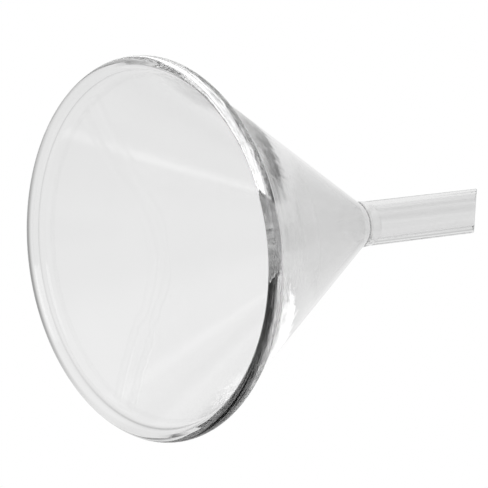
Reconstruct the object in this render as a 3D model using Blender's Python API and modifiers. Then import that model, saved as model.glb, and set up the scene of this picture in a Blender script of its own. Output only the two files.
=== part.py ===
"""Conical filling funnel in clear laboratory glass, mouth up.

The frame's origin lies on the funnel's axis, level with the lowest point of the stem's tip, and +Z runs up
to the mouth. The stem's tip is cut on a slant: it is short on the +X side and long on the -X side.

The glass is one fused body on the bench. Its four regions, each made by a step of its own in the glass shop,
are four objects whose flat faces meet: the rim bead, the cone, the seal at the neck, and the stem.
"""

import math

import bmesh
import bpy
from mathutils import Matrix, Vector

# Driving dimensions, in metres and radians.
MOUTH_RADIUS = 0.0375
STEM_RADIUS = 0.00465
BORE_RADIUS = 0.0035
CONE_DEPTH = 0.0568
CONE_HALF_ANGLE = math.radians(30)
WALL = 0.0016
STEM_LENGTH = 0.0405
TIP_BEVEL = math.radians(47)

# The bead round the mouth: round in section, with a narrow flat on top that the funnel stands on upside down.
BEAD_RADIUS = 0.00138
BEAD_FLAT_HALF_ANGLE = math.radians(13)
BEAD_STEP = math.radians(13)
BEAD_SPLIT_DEPTH = 0.0045

# The seal where the cone was fused to the stem.
SEAL_ABOVE_NECK = 0.0020
SEAL_BELOW_NECK = 0.0030
SEAL_BULGE = 0.00012
THROAT_ROUND = 0.0030

SEGMENTS = 72
SEAL_STEPS = 8
MERGE_DISTANCE = 1e-6
CUTTER_WIDTH = 6 * STEM_RADIUS

# Levels that follow from the driving dimensions.
NECK_Z = STEM_LENGTH
MOUTH_Z = NECK_Z + CONE_DEPTH
BEAD_SPLIT_Z = MOUTH_Z - BEAD_SPLIT_DEPTH
SEAL_TOP_Z = NECK_Z + SEAL_ABOVE_NECK
SEAL_FOOT_Z = NECK_Z - SEAL_BELOW_NECK
SLOPE = math.tan(CONE_HALF_ANGLE)
RADIAL_WALL = WALL / math.cos(CONE_HALF_ANGLE)
BEAD_CENTRE_RADIUS = MOUTH_RADIUS - BEAD_RADIUS
BEAD_CENTRE_Z = MOUTH_Z - BEAD_RADIUS * math.cos(BEAD_FLAT_HALF_ANGLE)

GLASS_COLOUR = (0.86, 0.89, 0.88, 1.0)
GLASS_ROUGHNESS = 0.02
GLASS_IOR = 1.5


def cone_outside(z):
    """The radius of the cone's outer face at height z."""
    return STEM_RADIUS + (z - NECK_Z) * SLOPE


def cone_inside(z):
    """The radius of the cone's inner face at height z."""
    return cone_outside(z) - RADIAL_WALL


def bead_arc(start, end):
    """Points (radius, height) along the bead's round from one angle to another, both ends included."""
    steps = max(1, round(abs(end - start) / BEAD_STEP))
    points = []
    for i in range(steps + 1):
        angle = start + (end - start) * i / steps
        radius = BEAD_CENTRE_RADIUS + BEAD_RADIUS * math.cos(angle)
        points.append((radius, BEAD_CENTRE_Z + BEAD_RADIUS * math.sin(angle)))
    return points

def bead_outline():
    """Down the outside from the flat on top, across the joint with the cone, and up the inside."""
    flat_edge = math.pi / 2 - BEAD_FLAT_HALF_ANGLE
    centre_to_outside = (cone_outside(BEAD_CENTRE_Z) - BEAD_CENTRE_RADIUS) * math.cos(CONE_HALF_ANGLE)
    centre_to_inside = WALL - centre_to_outside
    outer_crease = -CONE_HALF_ANGLE - math.acos(centre_to_outside / BEAD_RADIUS)
    inner_crease = math.pi - CONE_HALF_ANGLE + math.acos(centre_to_inside / BEAD_RADIUS)
    outside = bead_arc(flat_edge, 0) + bead_arc(0, outer_crease)[1:]
    joint = [(cone_outside(BEAD_SPLIT_Z), BEAD_SPLIT_Z), (cone_inside(BEAD_SPLIT_Z), BEAD_SPLIT_Z)]
    inside = bead_arc(inner_crease, math.pi - flat_edge)
    return outside + joint + inside

def cone_outline():
    return [
        (cone_outside(BEAD_SPLIT_Z), BEAD_SPLIT_Z),
        (cone_outside(SEAL_TOP_Z), SEAL_TOP_Z),
        (cone_inside(SEAL_TOP_Z), SEAL_TOP_Z),
        (cone_inside(BEAD_SPLIT_Z), BEAD_SPLIT_Z),
    ]



def throat_radius(z):
    """The bore's radius, rounded into the cone's inner face by an arc tangent to both."""
    tangent_length = THROAT_ROUND * math.tan(CONE_HALF_ANGLE / 2)
    corner_z = NECK_Z + (BORE_RADIUS + RADIAL_WALL - STEM_RADIUS) / SLOPE
    round_foot = corner_z - tangent_length
    round_top = corner_z + tangent_length * math.cos(CONE_HALF_ANGLE)
    if z <= round_foot:
        return BORE_RADIUS
    if z >= round_top:
        return cone_inside(z)
    rise = z - round_foot
    return BORE_RADIUS + THROAT_ROUND - math.sqrt(THROAT_ROUND**2 - rise**2)


def seal_outline():
    """The fused collar: the end of the cone outside, a slight swelling below the crease, the throat inside."""
    outside = [(cone_outside(SEAL_TOP_Z), SEAL_TOP_Z)]
    for i in range(SEAL_STEPS + 1):
        share = i / SEAL_STEPS
        swelling = SEAL_BULGE * math.sin(math.pi * share)
        outside.append((STEM_RADIUS + swelling, NECK_Z - share * SEAL_BELOW_NECK))
    inside = []
    for i in range(SEAL_STEPS + 1):
        z = SEAL_FOOT_Z + (SEAL_TOP_Z - SEAL_FOOT_Z) * i / SEAL_STEPS
        inside.append((throat_radius(z), z))
    return outside + inside


def stem_outline():
    return [
        (STEM_RADIUS, SEAL_FOOT_Z),
        (STEM_RADIUS, 0.0),
        (BORE_RADIUS, 0.0),
        (BORE_RADIUS, SEAL_FOOT_Z),
    ]


def glass_material():
    material = bpy.data.materials.new("clear_glass")
    material.use_nodes = True
    shader = material.node_tree.nodes["Principled BSDF"]
    shader.inputs["Base Color"].default_value = GLASS_COLOUR
    shader.inputs["Metallic"].default_value = 0.0
    shader.inputs["Roughness"].default_value = GLASS_ROUGHNESS
    shader.inputs["IOR"].default_value = GLASS_IOR
    shader.inputs["Transmission Weight"].default_value = 1.0
    return material


def turned(name, outline, material, collection):
    """A closed outline of (radius, height) points, spun once round Z."""
    mesh = bpy.data.meshes.new(name)
    count = len(outline)
    points = [(radius, 0.0, z) for radius, z in outline]
    mesh.from_pydata(points, [(i, (i + 1) % count) for i in range(count)], [])
    mesh.materials.append(material)
    piece = bpy.data.objects.new(name, mesh)
    collection.objects.link(piece)
    screw = piece.modifiers.new("turn", "SCREW")
    screw.axis = "Z"
    screw.angle = math.tau
    screw.steps = SEGMENTS
    screw.render_steps = SEGMENTS
    screw.use_merge_vertices = True
    screw.merge_threshold = MERGE_DISTANCE
    screw.use_smooth_shade = True
    return piece


def bevel_cutter(collection):
    """A block whose top face is the slanted cut through the stem's tip."""
    mesh = bpy.data.meshes.new("tip_cutter")
    shape = bmesh.new()
    bmesh.ops.create_cube(shape, size=1.0)
    lean = Matrix.Rotation(-TIP_BEVEL, 4, "Y")
    drop = Matrix.Translation(Vector((0, 0, -CUTTER_WIDTH / 2)))
    raise_to_axis = Matrix.Translation(Vector((0, 0, STEM_RADIUS * math.tan(TIP_BEVEL))))
    shape.transform(raise_to_axis @ lean @ drop @ Matrix.Scale(CUTTER_WIDTH, 4))
    shape.to_mesh(mesh)
    shape.free()
    cutter = bpy.data.objects.new("tip_cutter", mesh)
    collection.objects.link(cutter)
    cutter.hide_render = True
    cutter.display_type = "WIRE"
    return cutter


def cut_tip(stem, cutter):
    cut = stem.modifiers.new("slant", "BOOLEAN")
    cut.operation = "DIFFERENCE"
    cut.solver = "EXACT"
    cut.object = cutter


def new_collection(name):
    collection = bpy.data.collections.new(name)
    bpy.context.scene.collection.children.link(collection)
    return collection


def main():
    for obj in list(bpy.data.objects):
        bpy.data.objects.remove(obj)
    funnel = new_collection("filling_funnel")
    cutters = new_collection("cutters")
    glass = glass_material()
    turned("rim_bead", bead_outline(), glass, funnel)
    turned("cone_wall", cone_outline(), glass, funnel)
    turned("neck_seal", seal_outline(), glass, funnel)
    stem = turned("stem_tube", stem_outline(), glass, funnel)
    cut_tip(stem, bevel_cutter(cutters))


main()
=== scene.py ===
"""A conical laboratory filling funnel in clear glass, looked at from above its mouth, on plain white.

The funnel stands mouth up in its own frame. The real glass is one fused body: its four regions are four
closed pieces here, which meet on flat joint faces. A joint face is invisible, so light passes from one
region into the next as it does inside one piece of glass.
"""

import math

import bpy
from mathutils import Matrix, Vector, noise

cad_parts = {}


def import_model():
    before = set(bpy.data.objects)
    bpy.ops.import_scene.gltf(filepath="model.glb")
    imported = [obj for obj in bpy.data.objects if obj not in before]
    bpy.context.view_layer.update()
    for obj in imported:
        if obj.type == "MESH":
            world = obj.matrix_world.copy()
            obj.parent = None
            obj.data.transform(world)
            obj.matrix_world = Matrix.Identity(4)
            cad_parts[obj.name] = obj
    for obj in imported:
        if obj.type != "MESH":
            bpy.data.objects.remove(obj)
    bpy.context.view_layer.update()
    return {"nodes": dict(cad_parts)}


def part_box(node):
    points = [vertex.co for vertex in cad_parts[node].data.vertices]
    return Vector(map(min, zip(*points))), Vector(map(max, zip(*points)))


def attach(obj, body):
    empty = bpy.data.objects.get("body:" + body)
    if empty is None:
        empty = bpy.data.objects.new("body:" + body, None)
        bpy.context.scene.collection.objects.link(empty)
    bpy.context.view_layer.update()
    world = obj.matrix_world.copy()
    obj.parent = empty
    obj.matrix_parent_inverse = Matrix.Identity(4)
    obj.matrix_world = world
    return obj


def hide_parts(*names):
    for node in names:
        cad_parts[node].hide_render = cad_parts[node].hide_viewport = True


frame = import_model()
MM = 0.001

# The bead: a round of glass rolled at the mouth, ground flat on top and run out into the wall.
BEAD_RADIUS = 1.38 * MM
BEAD_FLAT_HALF_ANGLE = math.radians(13)
BEAD_OUTER_FILLET = 3.0 * MM
BEAD_INNER_FILLET = 16.0 * MM

# The wall's inner face. Flaring the mouth drew it thin towards the rim and left a low belly behind:
# (depth along the wall from the mouth, extra thickness).
WALL_BELLY = (
    (0.0, -0.28 * MM),
    (3.0 * MM, -0.28 * MM),
    (18.5 * MM, 0.19 * MM),
    (28.0 * MM, 0.36 * MM),
    (60.0 * MM, 0.12 * MM),
)
BELLY_BLEND = 0.8 * MM
# The belly lies this share deeper on its deepest side.
BELLY_SKEW = 0.09
BELLY_SIDE = math.radians(-45)
# Its edges are feathered by this much, in waves round the wall and along it, from the first depth on and
# fully from the second.
BELLY_FEATHER = 0.5 * MM
FEATHER_WAVES = 14
FEATHER_LENGTH = 8.0 * MM
FEATHER_SPAN = (10.0 * MM, 15.0 * MM)

# Tool marks: fine ripples drawn out round the mouth by the turning lathe. On the bead they rise between
# two heights above its joint, and on the wall between the first two depths, to fade between the last two.
BEAD_RIPPLE = 0.001 * MM
BEAD_RIPPLE_WAVES = 2.5
BEAD_RIPPLE_LENGTH = 0.45 * MM
BEAD_RIPPLE_SPAN = (0.5 * MM, 2.0 * MM)
WALL_RIPPLE = 0.003 * MM
WALL_RIPPLE_WAVES = 2
WALL_RIPPLE_LENGTH = 1.7 * MM
WALL_RIPPLE_SPAN = (3.0 * MM, 6.0 * MM, 18.0 * MM, 24.0 * MM)

# The neck: a soft crease between cone and stem, and on the side the torch closed last a crisp one, higher
# up, with a fine seam sunk along it. A low collar swells below the crease: it rises and fades over these
# shares of the way from the neck down to the stem's joint.
SOFT_CREASE = 3.5 * MM
CRISP_CREASE = 0.3 * MM
CRISP_LIFT = 0.6 * MM
CRISP_SIDE = math.radians(20)
SEAM_DEPTH = 0.32 * MM
SEAM_REACH = 0.15 * MM
COLLAR_HEIGHT = 0.1 * MM
COLLAR_RISE = (-0.1, 0.2)
COLLAR_FADE = (0.45, 0.85)

# Inside the neck: the rounded throat, the lumps the torch left in it and just beyond its ends, and the
# cords in the drawn tube's bore.
THROAT_ROUND = 12.0 * MM
LUMP_HEIGHT = 0.008 * MM
LUMP_REACH_DOWN = 1.0 * MM
LUMP_REACH_UP = 2.0 * MM
LUMP_WAVES = 2.2
LUMP_LENGTH = 1.6 * MM
CORD_HEIGHT = 0.05 * MM
CORD_WAVES = 3.5
CORD_LENGTH = 60.0 * MM
CORD_SEED = 5

# The stem's slanted tip, with its edges taken off.
TIP_SLOPE = math.tan(math.radians(47))
TIP_ARRIS = 0.2 * MM

# The meshes: columns round the axis, steps along each stretch of a section, and the gap below which two
# points are one.
COLUMNS = 288
RIM_WALL_STEPS = 8
FILLET_STEPS = 16
BEAD_OUTER_STEPS = 48
BEAD_INNER_STEPS = 32
CONE_OUTER_STEPS = 60
CONE_INNER_STEPS = 200
SEAL_TOP_STEPS = 40
CREASE_STEPS = 32
COLLAR_STEPS = 90
SEAL_INNER_STEPS = 40
STEM_STEPS = 60
MERGE_GAP = 1e-7

# The glass: its tone at one face, its absorption in a metre, and the wear in its polish.
GLASS_IOR = 1.5
GLASS_TONE = 0.95
ABSORPTION = 1.5
HANDLING_WAVES = 120.0
HANDLING_ROUGHNESS = 0.012
# (Waves round the axis, waves in a metre along it, strength): they run round the axis where the lathe
# turned the glass, and along it where the tube was drawn. A cord's strength is a change of tone, and a
# mark's is its height.
HOOP_CORDS = (1.5, 150.0, 0.004)
HOOP_MARKS = (2.5, 2200.0, 0.0003 * MM)
DRAWN_CORDS = (1.7, 4.0, 0.07)
DRAWN_MARKS = (9.0, 12.0, 0.002 * MM)
# Most of a noise texture's values lie between these two.
NOISE_LOW = 0.3
NOISE_HIGH = 0.7

# The camera: the point it looks at, its distance, its direction as (azimuth, elevation) in degrees, its
# roll, and its lens and sensor in millimetres.
CAMERA_TARGET = Vector((-0.00418, -0.00224, 0.06742))
CAMERA_DISTANCE = 0.6
CAMERA_DIRECTION = (14.65, 41.51)
CAMERA_ROLL = math.radians(-96.91)
CAMERA_LENS = 220.9
CAMERA_SENSOR = 36.0

# The floor lies this far below the tip, and is this wide each way from the axis, in metres.
FLOOR_DROP = 2.0 * MM
FLOOR_HALF_WIDTH = 20.0

# Studio light by direction. Each card is a level and the round caps of sky it lies in, and where it has
# two caps it fills only their overlap. A cap is (azimuth, elevation, reach, softness) in degrees. Later
# cards cover earlier ones.
ROOM_LEVEL = 0.5
CARDS = (
    # the near part of the table, in the camera's shade
    (0.34, [(10, -70, 50, 40)]),
    # the white sweep behind and below the funnel
    (0.88, [(178, -42, 50, 40)]),
    # the shade under the funnel
    (0.36, [(-178, -84, 20, 34)]),
    # the white wall on the +Y side
    (0.95, [(95, 40, 48, 30)]),
    # the dark side of the room
    (0.1, [(-72, 50, 44, 24)]),
    # the dark room above the sweep
    (0.2, [(-172, 40, 34, 20)]),
    # the softbox
    (2.0, [(38, 48, 22, 4), (80, 15, 64, 3)]),
    # the dim ceiling beside it, and the black card by the camera
    (0.15, [(-8, 62, 22, 10), (-50, 15, 62, 3)]),
    (0.0, [(-6, 44, 20, 6), (-50, 15, 62.5, 3)]),
    # two small lamps a little above the horizon, and one low behind
    (1.2, [(-65, 8, 4, 5)]),
    (1.2, [(110, 4, 5, 6)]),
    (0.95, [(149, -13, 5, 6)]),
)

# Light is led through the wall by dozens of inner reflections on its way to the rim.
BOUNCES = 96
TRANSPARENT_BOUNCES = 128


def inner_radius(node, height):
    """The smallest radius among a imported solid's points at that height."""
    points = (v.co for v in frame["nodes"][node].data.vertices)
    return min(math.hypot(p.x, p.y) for p in points if abs(p.z - height) < 0.01 * MM)


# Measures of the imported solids, in metres.
RIM_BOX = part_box("rim_bead")
CONE_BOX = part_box("cone_wall")
SEAL_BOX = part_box("neck_seal")
MOUTH_RADIUS = RIM_BOX[1].x
MOUTH_Z = RIM_BOX[1].z
RIM_JOINT_Z = RIM_BOX[0].z
NECK_JOINT_Z = SEAL_BOX[1].z
STEM_JOINT_Z = SEAL_BOX[0].z
STEM_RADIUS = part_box("stem_tube")[1].x
SLOPE = (CONE_BOX[1].x - SEAL_BOX[1].x) / (RIM_JOINT_Z - NECK_JOINT_Z)
HALF_ANGLE = math.atan(SLOPE)
NECK_Z = NECK_JOINT_Z - (SEAL_BOX[1].x - STEM_RADIUS) / SLOPE
BORE_RADIUS = inner_radius("stem_tube", STEM_JOINT_Z)
RADIAL_WALL = CONE_BOX[1].x - inner_radius("cone_wall", RIM_JOINT_Z)
BEAD_CENTRE = Vector((MOUTH_RADIUS - BEAD_RADIUS, MOUTH_Z - BEAD_RADIUS * math.cos(BEAD_FLAT_HALF_ANGLE)))

# The throat: the height where bore and cone would meet in a corner, and the ends of the arc that rounds it.
THROAT_Z = NECK_Z + (BORE_RADIUS + RADIAL_WALL - STEM_RADIUS) / SLOPE
THROAT_REACH = THROAT_ROUND * math.tan(HALF_ANGLE / 2)
THROAT_FOOT = THROAT_Z - THROAT_REACH
THROAT_HEAD = THROAT_Z + THROAT_REACH * math.cos(HALF_ANGLE)


def ramp(value, start, end):
    """0 before start, 1 after end, and a smooth rise between them."""
    t = min(1.0, max(0.0, (value - start) / (end - start)))
    return t * t * (3 - 2 * t)


def lathe_noise(phi, around, along):
    """Smooth noise at an angle round the axis, where it varies this fast, and at a place along it."""
    return noise.noise(Vector((around * math.cos(phi), around * math.sin(phi), along)))


def cone_outside(z):
    """The radius of the cone's outer face at a height."""
    return STEM_RADIUS + (z - NECK_Z) * SLOPE


def belly(depth):
    """The extra thickness at a depth, straight between the stated ones."""
    for (start, low), (end, high) in zip(WALL_BELLY, WALL_BELLY[1:]):
        if depth < end:
            return low + (high - low) * max(0.0, depth - start) / (end - start)
    return WALL_BELLY[-1][1]


def wall_ripple(phi, depth):
    """The ripple in the inner face, which fades out at the bead and again deep in the cone."""
    start, full, fade, end = WALL_RIPPLE_SPAN
    weight = ramp(depth, start, full) * (1 - ramp(depth, fade, end))
    return WALL_RIPPLE * weight * lathe_noise(phi, WALL_RIPPLE_WAVES, depth / WALL_RIPPLE_LENGTH)


def inner_offset(phi, z):
    """How far the inner face stands inside its true cone: thicker glass is positive."""
    depth = (MOUTH_Z - z) / math.cos(HALF_ANGLE)
    skewed = depth / (1 + BELLY_SKEW * max(0.0, math.cos(phi - BELLY_SIDE)))
    feather = BELLY_FEATHER * ramp(depth, *FEATHER_SPAN)
    skewed += feather * lathe_noise(phi, FEATHER_WAVES, depth / FEATHER_LENGTH)
    spread = [belly(skewed + BELLY_BLEND * k / 4) for k in range(-4, 5)]
    offset = sum(spread) / len(spread) + wall_ripple(phi, depth)
    return offset * ramp(depth, 0.0, WALL_BELLY[1][0]) / math.cos(HALF_ANGLE)


def throat_lumps(phi, z):
    """Small lumps the torch left on the inside of the seal."""
    below = ramp(z, THROAT_FOOT - LUMP_REACH_DOWN, THROAT_Z)
    above = ramp(z, THROAT_Z, THROAT_HEAD + LUMP_REACH_UP)
    weight = below * (1 - above)
    return LUMP_HEIGHT * weight * lathe_noise(phi, LUMP_WAVES, z / LUMP_LENGTH)


def bore_cords(phi, z):
    """Lengthwise cords in the drawn tube, which fade out in the throat."""
    weight = 1 - ramp(z, THROAT_FOOT, THROAT_HEAD)
    return CORD_HEIGHT * weight * lathe_noise(phi, CORD_WAVES, z / CORD_LENGTH + CORD_SEED)


def inside(phi, z):
    """The radius of the bore, the rounded throat or the cone's inner face at a height."""
    if z <= THROAT_FOOT:
        radius = BORE_RADIUS
    elif z < THROAT_HEAD:
        radius = BORE_RADIUS + THROAT_ROUND - math.sqrt(THROAT_ROUND**2 - (z - THROAT_FOOT) ** 2)
    else:
        radius = cone_outside(z) - RADIAL_WALL
    return radius - inner_offset(phi, z) + throat_lumps(phi, z) + bore_cords(phi, z)


def direction(angle):
    return Vector((math.cos(angle), math.sin(angle)))


def arc_points(centre, radius, start, end, steps):
    """Points along an arc between two angles, both ends included."""
    return [centre + direction(start + (end - start) * k / steps) * radius for k in range(steps + 1)]


def straight(start, end, steps):
    return [start.lerp(end, k / steps) for k in range(steps + 1)]


def levels(start, end, steps):
    """Evenly spaced heights, both ends included."""
    return [start + (end - start) * k / steps for k in range(steps + 1)]


def corner(before, here, after, radius, steps):
    """The arc of that radius which rounds the corner at here, between the points before and after it."""
    back = (before - here).normalized()
    on = (after - here).normalized()
    turn = math.pi - back.angle(on)
    centre = here + (back + on).normalized() * (radius / math.cos(turn / 2))
    first = here + back * (radius * math.tan(turn / 2)) - centre
    last = here + on * (radius * math.tan(turn / 2)) - centre
    start = math.atan2(first.y, first.x)
    sweep = (math.atan2(last.y, last.x) - start + math.pi) % math.tau - math.pi
    return arc_points(centre, radius, start, start + sweep, steps)


def wall_blend(distance, normal, radius):
    """The fillet between the bead's round and a face of the wall at that distance from the bead's centre.

    Returns the angle on the bead where the fillet starts, and the fillet's points from the bead to the wall.
    """
    along = direction(math.pi / 2 - HALF_ANGLE)
    slide = math.sqrt((BEAD_RADIUS + radius) ** 2 - (distance + radius) ** 2)
    centre = BEAD_CENTRE + normal * (distance + radius) - along * slide
    from_bead = BEAD_CENTRE - centre
    start = math.atan2(from_bead.y, from_bead.x)
    end = math.atan2(-normal.y, -normal.x)
    turn = (end - start + math.pi) % math.tau - math.pi
    fillet = arc_points(centre, radius, start, start + turn, FILLET_STEPS)
    return math.atan2(-from_bead.y, -from_bead.x), fillet


def rim_outline():
    """The bead's section from the outside of the wall, over the ground flat, to the inside of the wall."""
    outward = direction(-HALF_ANGLE)
    to_outside = (cone_outside(BEAD_CENTRE.y) - BEAD_CENTRE.x) * math.cos(HALF_ANGLE)
    wall = RADIAL_WALL * math.cos(HALF_ANGLE)
    foot_angle, foot = wall_blend(to_outside, outward, BEAD_OUTER_FILLET)
    inner_angle, inner = wall_blend(wall - to_outside, -outward, BEAD_INNER_FILLET)
    flat = math.pi / 2 - BEAD_FLAT_HALF_ANGLE
    outer_end = Vector((cone_outside(RIM_JOINT_Z), RIM_JOINT_Z))
    inner_end = Vector((cone_outside(RIM_JOINT_Z) - RADIAL_WALL, RIM_JOINT_Z))
    path = straight(outer_end, foot[-1], RIM_WALL_STEPS)[:-1] + foot[::-1]
    path += arc_points(BEAD_CENTRE, BEAD_RADIUS, foot_angle, flat, BEAD_OUTER_STEPS)[1:]
    path += arc_points(BEAD_CENTRE, BEAD_RADIUS, math.pi - flat, inner_angle % math.tau, BEAD_INNER_STEPS)
    return path + inner[1:-1] + straight(inner[-1], inner_end, RIM_WALL_STEPS)


# The outline, the place of its highest point in it, and each point's way along it.
RIM_PATH = rim_outline()
RIM_TOP = RIM_PATH.index(max(RIM_PATH, key=lambda p: p.y))
RIM_STEPS = [(b - a).length for a, b in zip(RIM_PATH, RIM_PATH[1:])]
RIM_RUN = [sum(RIM_STEPS[:k]) for k in range(len(RIM_PATH))]


def rim_section(phi):
    """The outline at one angle, with the ripple in its skin and the inner face's offset past its top."""
    points = []
    last = len(RIM_PATH) - 1
    for k, p in enumerate(RIM_PATH):
        along = (RIM_PATH[min(k + 1, last)] - RIM_PATH[max(k - 1, 0)]).normalized()
        weight = ramp(p.y - RIM_JOINT_Z, *BEAD_RIPPLE_SPAN)
        wave = lathe_noise(phi, BEAD_RIPPLE_WAVES, RIM_RUN[k] / BEAD_RIPPLE_LENGTH)
        sink = BEAD_RIPPLE * weight * (0.5 + 0.5 * wave)
        offset = inner_offset(phi, p.y) if k > RIM_TOP else 0.0
        points.append(Vector((p.x - sink * along.y - offset, p.y + sink * along.x)))
    return points


def cone_outer_section(phi):
    return [Vector((cone_outside(z), z)) for z in levels(NECK_JOINT_Z, RIM_JOINT_Z, CONE_OUTER_STEPS)]


def cone_inner_section(phi):
    return [Vector((inside(phi, z), z)) for z in levels(RIM_JOINT_Z, NECK_JOINT_Z, CONE_INNER_STEPS)]


def collar(z):
    """A low swelling just below the neck, run out before the stem's joint."""
    t = (NECK_Z - z) / (NECK_Z - STEM_JOINT_Z)
    return COLLAR_HEIGHT * ramp(t, *COLLAR_RISE) * (1 - ramp(t, *COLLAR_FADE))


def seal_outer_section(phi):
    """The stem's end, the crease and the cone's end. Crisp is 1 on the crisp side and 0 on the other."""
    crisp = max(0.0, math.cos(phi - CRISP_SIDE)) ** 1.5
    crease_z = NECK_Z + CRISP_LIFT * crisp
    foot = Vector((STEM_RADIUS, STEM_JOINT_Z))
    crease = Vector((cone_outside(crease_z), crease_z))
    top = Vector((cone_outside(NECK_JOINT_Z), NECK_JOINT_Z))
    arc = corner(foot, crease, top, SOFT_CREASE * (CRISP_CREASE / SOFT_CREASE) ** crisp, CREASE_STEPS)
    path = straight(foot, arc[0], COLLAR_STEPS)[:-1] + arc + straight(arc[-1], top, SEAL_TOP_STEPS)[1:]
    seam = [SEAM_DEPTH * crisp * math.exp(-(((p.y - crease_z) / SEAM_REACH) ** 2)) for p in path]
    return [Vector((p.x + collar(p.y) - depth, p.y)) for p, depth in zip(path, seam)]


def seal_inner_section(phi):
    return [Vector((inside(phi, z), z)) for z in levels(NECK_JOINT_Z, STEM_JOINT_Z, SEAL_INNER_STEPS)]


def tip_height(radius, phi):
    """The height of the slanted cut at a radius and an angle."""
    return TIP_SLOPE * (STEM_RADIUS + radius * math.cos(phi))


def stem_outer_section(phi):
    foot = tip_height(STEM_RADIUS, phi) + TIP_ARRIS
    return [Vector((STEM_RADIUS, z)) for z in levels(foot, STEM_JOINT_Z, STEM_STEPS)]


def stem_inner_section(phi):
    foot = tip_height(BORE_RADIUS, phi) + TIP_ARRIS
    return [Vector((inside(phi, z), z)) for z in levels(STEM_JOINT_Z, foot, STEM_STEPS)]


def tip_section(phi):
    radii = (BORE_RADIUS + TIP_ARRIS, STEM_RADIUS - TIP_ARRIS)
    return [Vector((r, tip_height(r, phi))) for r in radii]


def joint_skin(first, second):
    """The flat joint face from the last point of one section to the first point of the next."""
    return lambda phi: [first(phi)[-1], second(phi)[0]]


def lathe(name, skins):
    """A closed body from skins of (section, material, smooth) that follow each other round its section.

    A section is a function of the angle round the axis and gives a list of (radius, height) points.
    """
    angles = [math.tau * c / COLUMNS for c in range(COLUMNS)]
    materials, bands = [], []
    columns = [[] for _ in angles]
    for section, material, smooth in skins:
        if material not in materials:
            materials.append(material)
        for column, angle in zip(columns, angles):
            points = section(angle)
            column += points if not column or (points[0] - column[-1]).length > MERGE_GAP else points[1:]
        while len(bands) < len(columns[0]) - 1:
            bands.append((materials.index(material), smooth))
    if (columns[0][-1] - columns[0][0]).length < MERGE_GAP:
        for column in columns:
            column.pop()
    else:
        bands.append(bands[-1])
    rows = len(columns[0])
    points = [
        (column[k].x * math.cos(angle), column[k].x * math.sin(angle), column[k].y)
        for k in range(rows)
        for column, angle in zip(columns, angles)
    ]
    faces = []
    for k in range(rows):
        here, there = k * COLUMNS, (k + 1) % rows * COLUMNS
        for c in range(COLUMNS):
            d = (c + 1) % COLUMNS
            faces.append((here + c, here + d, there + d, there + c))
    mesh = bpy.data.meshes.new(name)
    mesh.from_pydata(points, [], faces)
    for material in materials:
        mesh.materials.append(material)
    mesh.polygons.foreach_set("material_index", [band[0] for band in bands for _ in range(COLUMNS)])
    mesh.polygons.foreach_set("use_smooth", [band[1] for band in bands for _ in range(COLUMNS)])
    creases = {k for k in range(rows) if bands[k] != bands[k - 1]}
    for edge in mesh.edges:
        first, second = (v // COLUMNS for v in edge.vertices)
        edge.use_edge_sharp = first == second and first in creases
    body = bpy.data.objects.new(name, mesh)
    bpy.context.scene.collection.objects.link(body)
    return body


def vector_math(tree, operation, vector, **values):
    """A vector math node on that vector, with its other sockets set by name."""
    node = tree.nodes.new("ShaderNodeVectorMath")
    node.operation = operation
    tree.links.new(vector, node.inputs[0])
    for socket, value in values.items():
        node.inputs[socket].default_value = value
    return node


def lathe_coordinates(tree, around, along):
    """Coordinates for a noise that repeats this often round the axis and this often in a metre along it."""
    place = tree.nodes.new("ShaderNodeTexCoord").outputs["Object"]
    flat = vector_math(tree, "MULTIPLY", place)
    flat.inputs[1].default_value = (1, 1, 0)
    ring = vector_math(tree, "NORMALIZE", flat.outputs["Vector"])
    wide = vector_math(tree, "SCALE", ring.outputs["Vector"], Scale=around)
    high = vector_math(tree, "MULTIPLY_ADD", place)
    high.inputs[1].default_value = (0, 0, along)
    tree.links.new(wide.outputs["Vector"], high.inputs[2])
    return high.outputs["Vector"]


def noise_range(tree, vector, low, high):
    """A noise at those coordinates, spread over the range from low to high."""
    pattern = tree.nodes.new("ShaderNodeTexNoise")
    pattern.inputs["Scale"].default_value = 1.0
    pattern.inputs["Detail"].default_value = 1.0
    tree.links.new(vector, pattern.inputs["Vector"])
    spread = tree.nodes.new("ShaderNodeMapRange")
    spread.inputs["From Min"].default_value = NOISE_LOW
    spread.inputs["From Max"].default_value = NOISE_HIGH
    spread.inputs["To Min"].default_value = low
    spread.inputs["To Max"].default_value = high
    tree.links.new(pattern.outputs["Fac"], spread.inputs["Value"])
    return spread.outputs["Result"]


def add_absorption(tree):
    volume = tree.nodes.new("ShaderNodeVolumeAbsorption")
    volume.inputs["Color"].default_value = (0.0, 0.0, 0.0, 1)
    volume.inputs["Density"].default_value = ABSORPTION
    tree.links.new(volume.outputs["Volume"], tree.nodes["Material Output"].inputs["Volume"])


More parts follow.
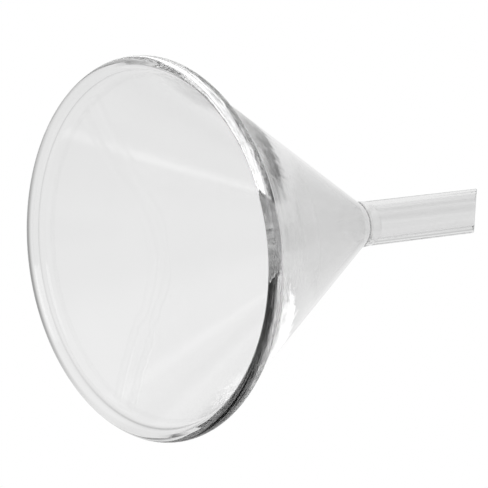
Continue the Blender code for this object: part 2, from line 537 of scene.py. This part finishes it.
def glass(name, cords, marks):
    """Clear glass with cords of greyer glass, handling marks in its polish and fine marks in its skin."""
    material = bpy.data.materials.new(name)
    material.use_nodes = True
    tree = material.node_tree
    link = tree.links.new
    shader = tree.nodes["Principled BSDF"]
    shader.inputs["IOR"].default_value = GLASS_IOR
    shader.inputs["Transmission Weight"].default_value = 1.0

    around, along, strength = cords
    cords_place = lathe_coordinates(tree, around, along)
    level = noise_range(tree, cords_place, GLASS_TONE - strength, GLASS_TONE + strength)
    tone = tree.nodes.new("ShaderNodeCombineColor")
    for channel in tone.inputs:
        link(level, channel)
    link(tone.outputs["Color"], shader.inputs["Base Color"])

    place = tree.nodes.new("ShaderNodeTexCoord").outputs["Object"]
    handled = vector_math(tree, "SCALE", place, Scale=HANDLING_WAVES).outputs["Vector"]
    link(noise_range(tree, handled, 0.0, HANDLING_ROUGHNESS), shader.inputs["Roughness"])

    around, along, strength = marks
    bump = tree.nodes.new("ShaderNodeBump")
    bump.inputs["Distance"].default_value = strength
    link(noise_range(tree, lathe_coordinates(tree, around, along), 0.0, 1.0), bump.inputs["Height"])
    link(bump.outputs["Normal"], shader.inputs["Normal"])
    add_absorption(tree)
    return material


def joint_material():
    """An invisible face: the glass on both sides of it is one body in the real funnel."""
    material = bpy.data.materials.new("joint_face")
    material.use_nodes = True
    material.node_tree.nodes["Principled BSDF"].inputs["Alpha"].default_value = 0.0
    add_absorption(material.node_tree)
    return material


def ring_between(outer, inner, material, joint):
    """The four skins of a ring of glass: its outer face, top joint, inner face and bottom joint."""
    return [
        (outer, material, True),
        (joint_skin(outer, inner), joint, False),
        (inner, material, True),
        (joint_skin(inner, outer), joint, False),
    ]


def build():
    turned = glass("turned_glass", HOOP_CORDS, HOOP_MARKS)
    drawn = glass("drawn_glass", DRAWN_CORDS, DRAWN_MARKS)
    joint = joint_material()
    skins = {
        "rim_bead": [(rim_section, turned, True), (joint_skin(rim_section, rim_section), joint, False)],
        "cone_wall": ring_between(cone_outer_section, cone_inner_section, turned, joint),
        "neck_seal": ring_between(seal_outer_section, seal_inner_section, turned, joint),
        "stem_tube": [
            (stem_outer_section, drawn, True),
            (joint_skin(stem_outer_section, stem_inner_section), joint, False),
            (stem_inner_section, drawn, True),
            (tip_section, drawn, False),
        ],
    }
    for node, sides in skins.items():
        piece = lathe(node + "_glass", sides)
        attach(piece, "root")
        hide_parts(node)


def unit(azimuth, elevation):
    """The unit vector towards an azimuth and an elevation in degrees."""
    a, e = math.radians(azimuth), math.radians(elevation)
    return Vector((math.cos(e) * math.cos(a), math.cos(e) * math.sin(a), math.sin(e)))


def camera():
    """The camera leans on its side, so that the funnel lies in the picture with its mouth at the left."""
    cam = bpy.data.cameras.new("camera")
    cam.lens = CAMERA_LENS
    cam.sensor_width = CAMERA_SENSOR
    cam.clip_start = 0.01
    cam.clip_end = 100.0
    body = bpy.data.objects.new("camera", cam)
    bpy.context.scene.collection.objects.link(body)
    back = unit(*CAMERA_DIRECTION)
    level = Vector((0, 0, 1)).cross(back).normalized()
    right = level * math.cos(CAMERA_ROLL) + back.cross(level) * math.sin(CAMERA_ROLL)
    pose = Matrix((right, back.cross(right), back)).transposed().to_4x4()
    pose.translation = CAMERA_TARGET + back * CAMERA_DISTANCE
    body.matrix_world = pose
    bpy.context.scene.camera = body


def cap_mask(tree, towards, cap, inner):
    """1 inside a round cap of sky and 0 outside it, times the mask of the cap it overlaps, if any."""
    azimuth, elevation, reach, softness = cap
    dot = vector_math(tree, "DOT_PRODUCT", towards)
    dot.inputs[1].default_value = unit(azimuth, elevation)
    angle = tree.nodes.new("ShaderNodeMath")
    angle.operation = "ARCCOSINE"
    tree.links.new(dot.outputs["Value"], angle.inputs[0])
    mask = tree.nodes.new("ShaderNodeMapRange")
    mask.interpolation_type = "SMOOTHSTEP"
    mask.inputs["From Min"].default_value = math.radians(reach + softness / 2)
    mask.inputs["From Max"].default_value = math.radians(reach - softness / 2)
    tree.links.new(angle.outputs["Value"], mask.inputs["Value"])
    if inner is not None:
        tree.links.new(inner, mask.inputs["To Max"])
    return mask.outputs["Result"]


def blend(tree, factor, first, second):
    """The number first where the factor is 0 and second where it is 1. Each is a number or a socket."""
    mix = tree.nodes.new("ShaderNodeMix")
    mix.data_type = "FLOAT"
    tree.links.new(factor, mix.inputs[0])
    for socket, source in ((mix.inputs[2], first), (mix.inputs[3], second)):
        if isinstance(source, float):
            socket.default_value = source
        else:
            tree.links.new(source, socket)
    return mix.outputs[0]


def world():
    """The cards light the glass, and the camera itself sees plain white."""
    studio = bpy.data.worlds.new("studio")
    bpy.context.scene.world = studio
    studio.use_nodes = True
    tree = studio.node_tree
    towards = tree.nodes.new("ShaderNodeTexCoord").outputs["Generated"]
    level = ROOM_LEVEL
    for card, caps in CARDS:
        mask = None
        for cap in caps:
            mask = cap_mask(tree, towards, cap, mask)
        level = blend(tree, mask, level, card)
    seen = tree.nodes.new("ShaderNodeLightPath").outputs["Is Camera Ray"]
    tree.links.new(blend(tree, seen, level, 1.0), tree.nodes["Background"].inputs["Color"])


def floor():
    """A white floor that only the camera sees, from above: the cards stand for its light on the glass."""
    signs = ((-1, -1), (1, -1), (1, 1), (-1, 1))
    corners = [(FLOOR_HALF_WIDTH * x, FLOOR_HALF_WIDTH * y, -FLOOR_DROP) for x, y in signs]
    mesh = bpy.data.meshes.new("floor")
    mesh.from_pydata(corners, [], [(0, 1, 2, 3)])
    plane = bpy.data.objects.new("floor", mesh)
    bpy.context.scene.collection.objects.link(plane)
    material = bpy.data.materials.new("floor")
    material.use_nodes = True
    tree = material.node_tree
    link = tree.links.new
    tree.nodes.remove(tree.nodes["Principled BSDF"])
    choice = tree.nodes.new("ShaderNodeMixShader")
    link(tree.nodes.new("ShaderNodeNewGeometry").outputs["Backfacing"], choice.inputs["Fac"])
    link(tree.nodes.new("ShaderNodeEmission").outputs["Emission"], choice.inputs[1])
    link(tree.nodes.new("ShaderNodeBsdfTransparent").outputs["BSDF"], choice.inputs[2])
    link(choice.outputs["Shader"], tree.nodes["Material Output"].inputs["Surface"])
    mesh.materials.append(material)
    for ray in ("visible_diffuse", "visible_glossy", "visible_transmission", "visible_shadow"):
        setattr(plane, ray, False)


build()
camera()
world()
floor()
bpy.context.scene.view_settings.view_transform = "Standard"
cycles = bpy.context.scene.cycles
cycles.max_bounces = BOUNCES
cycles.transmission_bounces = BOUNCES
cycles.glossy_bounces = BOUNCES
cycles.transparent_max_bounces = TRANSPARENT_BOUNCES
